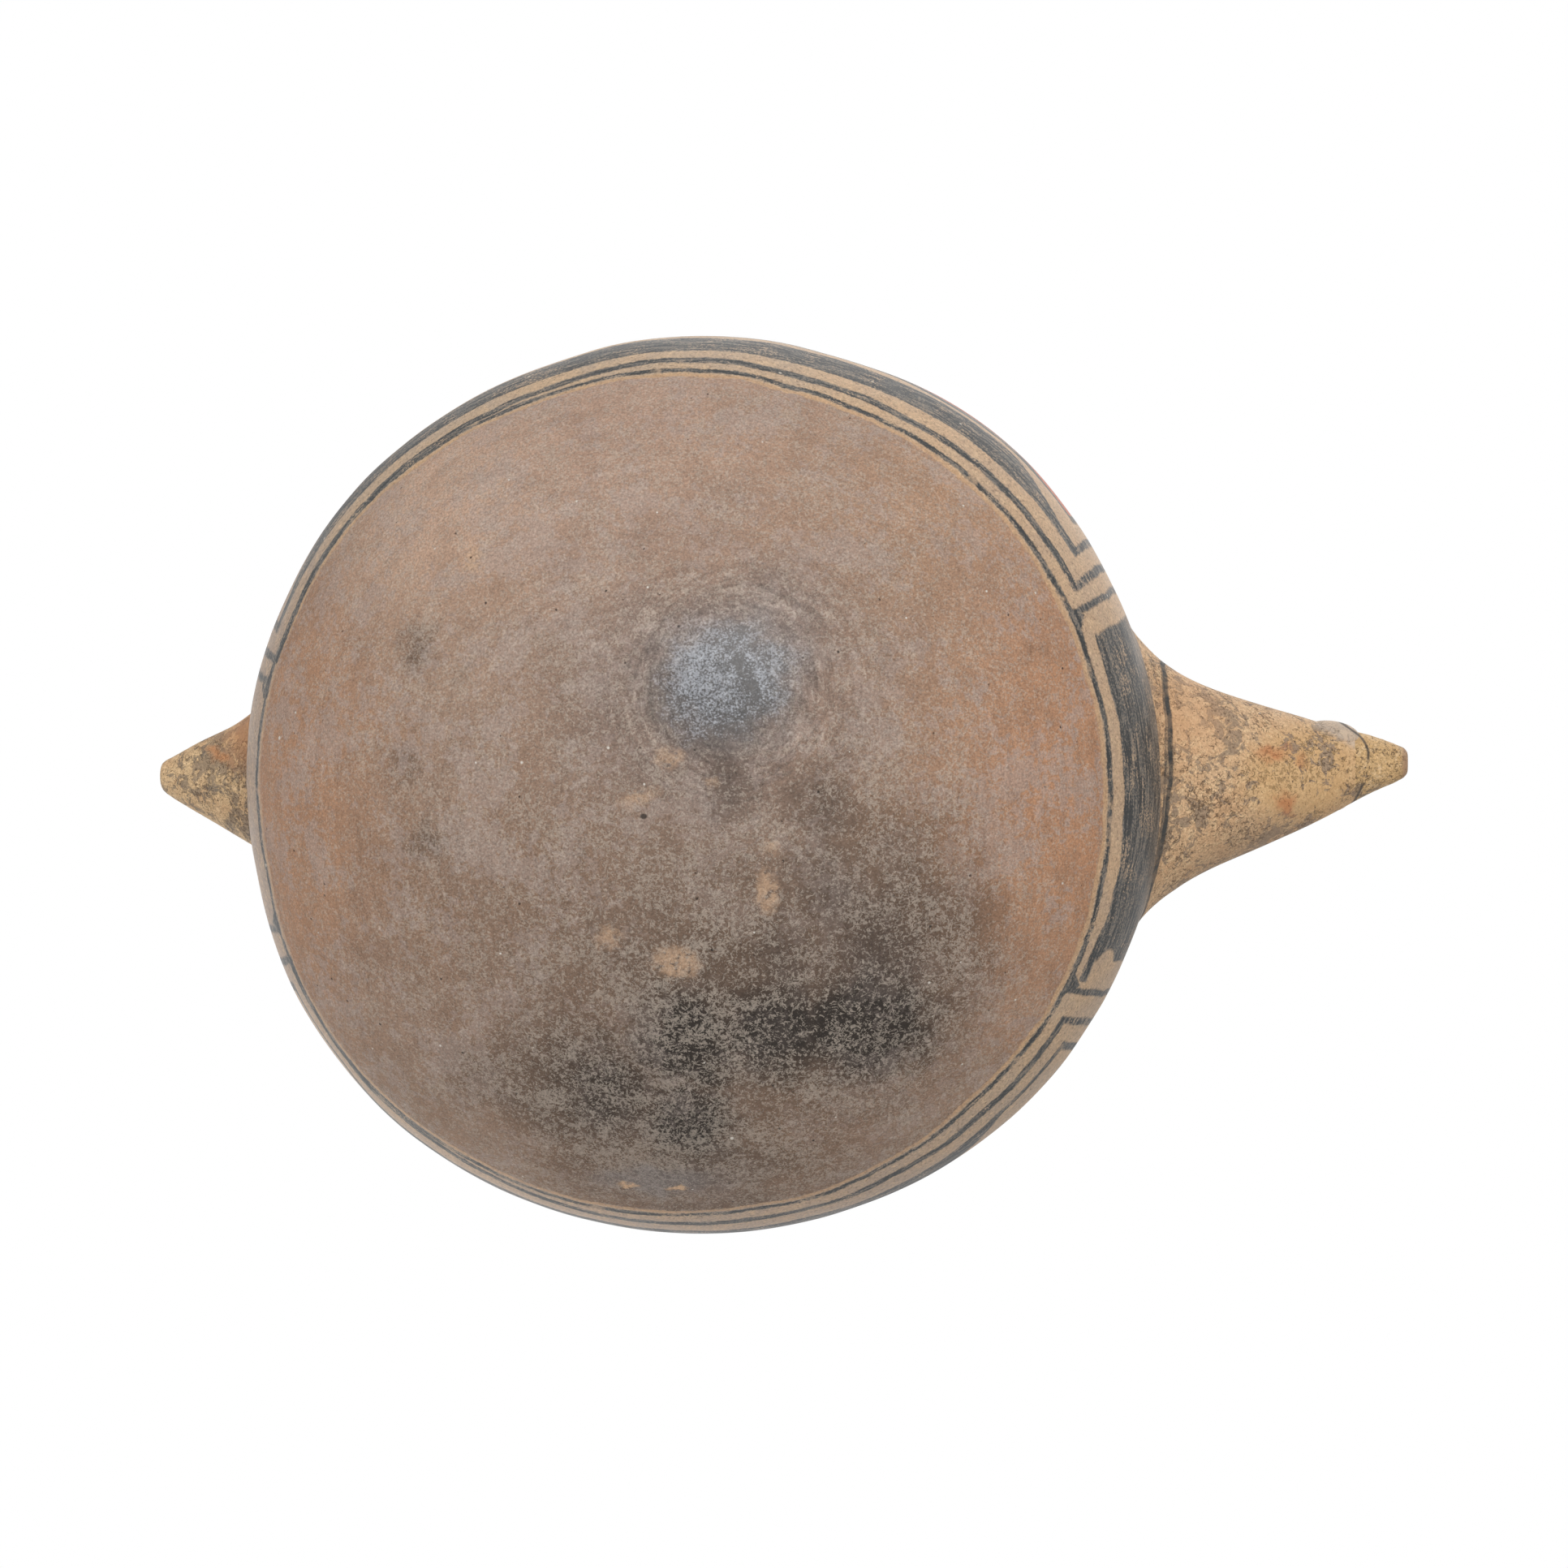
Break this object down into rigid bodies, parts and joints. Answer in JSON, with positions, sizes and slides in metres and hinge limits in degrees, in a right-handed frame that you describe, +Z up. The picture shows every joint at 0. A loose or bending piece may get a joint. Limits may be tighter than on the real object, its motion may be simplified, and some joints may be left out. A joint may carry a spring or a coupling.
{
  "type": "effigy bowl",
  "caption": "Round-bottomed hand-built clay bowl shaped as a bird, with a hollow head and beak on one side and a stub tail opposite.",
  "frame": {"origin": "middle of the small flat under the bowl that it rests on", "axes": "+X towards the head and beak, +Y to the bird's left, +Z up out of the mouth"},
  "size_m": [0.231, 0.1634, 0.0927],
  "materials": {
    "brown_clay": "burnished, unpainted",
    "buff_slip": "burnished slip with black and red paint",
    "black_paint": "burnished paint",
    "ochre_slip": "worn slip",
    "tail_clay": "worn slip"
  },
  "bodies": {
    "root": {"base_pat": "brown_clay", "wall_coil_1": "brown_clay", "wall_coil_2": "buff_slip", "wall_coil_3": "buff_slip", "wall_coil_4": "buff_slip", "rim_coil": "black_paint", "head_shell": "buff_slip", "beak": "ochre_slip", "left_eye": "buff_slip", "right_eye": "buff_slip", "tail": "tail_clay"}
  },
  "joints": []
}
